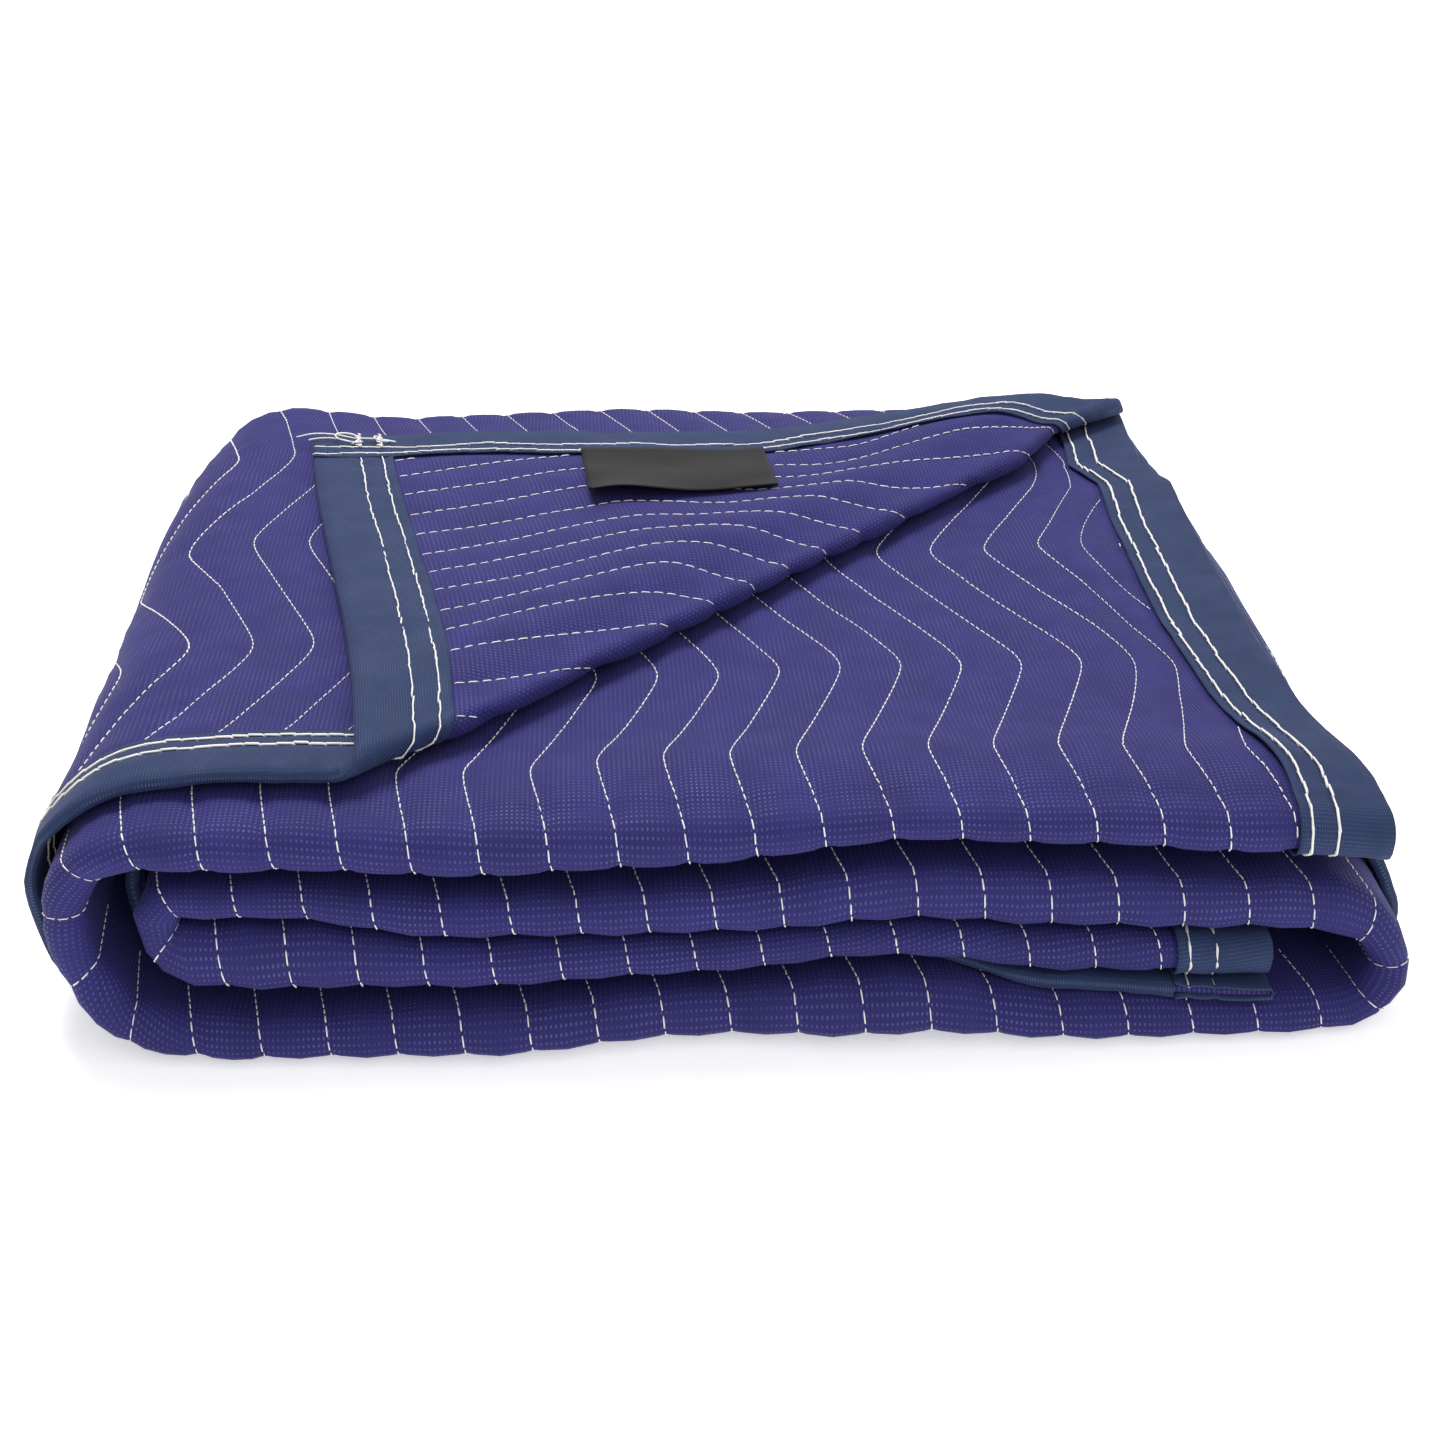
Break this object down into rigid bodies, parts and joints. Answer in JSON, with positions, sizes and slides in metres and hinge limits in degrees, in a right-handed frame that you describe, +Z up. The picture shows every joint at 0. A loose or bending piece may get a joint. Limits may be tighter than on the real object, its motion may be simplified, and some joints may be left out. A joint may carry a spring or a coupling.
{
  "type": "moving blanket",
  "caption": "Quilted moving blanket with bound edges, folded into a thick flat bundle, with one corner of the top ply turned back.",
  "frame": {"origin": "centre of the bounding box, on the floor", "axes": "+X along the folded bands, away from the outer left turn; -Y is the front, where the side folds show; +Z up"},
  "size_m": [0.5368, 0.475, 0.1245],
  "materials": {
    "quilted_cloth": "matte embossed non-woven polyester, blue-violet, with white quilting thread",
    "binding_tape": "matte non-woven tape, slate blue, with two rows of white chain stitch",
    "label_cloth": "plain black satin-backed label, bare"
  },
  "bodies": {
    "root": {"quilted_cloth": "quilted_cloth", "outer_side_binding": "binding_tape", "inner_side_binding": "binding_tape", "outer_end_binding": "binding_tape", "inner_end_binding": "binding_tape", "sewn_label": "label_cloth"}
  },
  "joints": []
}
